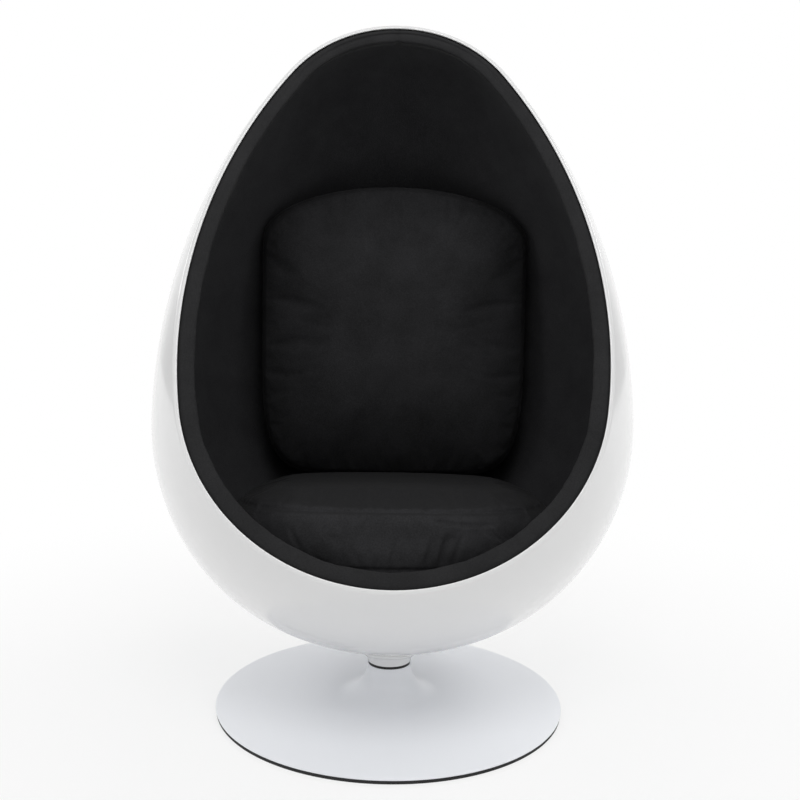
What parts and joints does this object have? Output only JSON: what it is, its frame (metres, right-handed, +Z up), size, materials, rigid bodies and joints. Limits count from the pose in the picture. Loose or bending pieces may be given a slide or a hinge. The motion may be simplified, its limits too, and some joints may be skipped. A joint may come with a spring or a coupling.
{
  "type": "pod chair",
  "caption": "Egg-shaped lounge chair: a leaning moulded shell lined with black fabric, with loose seat and back cushions, that swivels on a round trumpet base",
  "frame": {"origin": "where the swivel axis meets the floor, on the plane of the floor ring's underside", "axes": "+Z up along the swivel axis; the opening faces -Y at rest; +X is the right side as the picture shows it"},
  "size_m": [0.8499, 0.8428, 1.1942],
  "materials": {
    "shell_white": "gloss",
    "base_white": "satin",
    "collar_white": "gloss",
    "cushion_fabric": "matte",
    "lining_fabric": "matte",
    "band_fabric": "matte",
    "foam": "matte",
    "plywood": "satin",
    "raw_steel": "satin",
    "zinc_steel": "satin",
    "bronze": "satin",
    "rubber": "matte",
    "black_plastic": "matte"
  },
  "bodies": {
    "base": {"floor_ring": "rubber", "base_plate": "raw_steel", "access_cap": "black_plastic", "base_cover": "base_white", "column": "raw_steel", "column_bolts": "zinc_steel", "column_washers": "zinc_steel", "lower_bush": "bronze", "upper_bush": "bronze", "lower_race": "zinc_steel", "ball_cage": "bronze", "bearing_balls": "zinc_steel", "dust_ring": "black_plastic"},
    "seat": {"upper_race": "zinc_steel", "spindle": "zinc_steel", "circlip": "zinc_steel", "foot_washer": "zinc_steel", "neck_collar": "collar_white", "shell": "shell_white", "mounting_board": "plywood", "threaded_inserts": "zinc_steel", "mounting_bolts": "zinc_steel", "mounting_washers": "zinc_steel", "bowl_foam": "foam", "lining_foam": "foam", "lining_cover": "lining_fabric", "edge_band": "band_fabric", "seat_cushion_core": "foam", "seat_cushion_cover": "cushion_fabric", "seat_zip": "black_plastic", "seat_zip_slider": "zinc_steel", "hook_strips": "black_plastic", "loop_strips": "lining_fabric", "back_cushion_core": "foam", "back_cushion_cover": "cushion_fabric", "back_zip": "black_plastic", "back_zip_slider": "zinc_steel"}
  },
  "joints": [
    {"name": "swivel", "type": "hinge", "parent": "base", "child": "seat", "pos_m": [0, 0, 0], "axis": [0, 0, 1], "continuous": true}
  ]
}
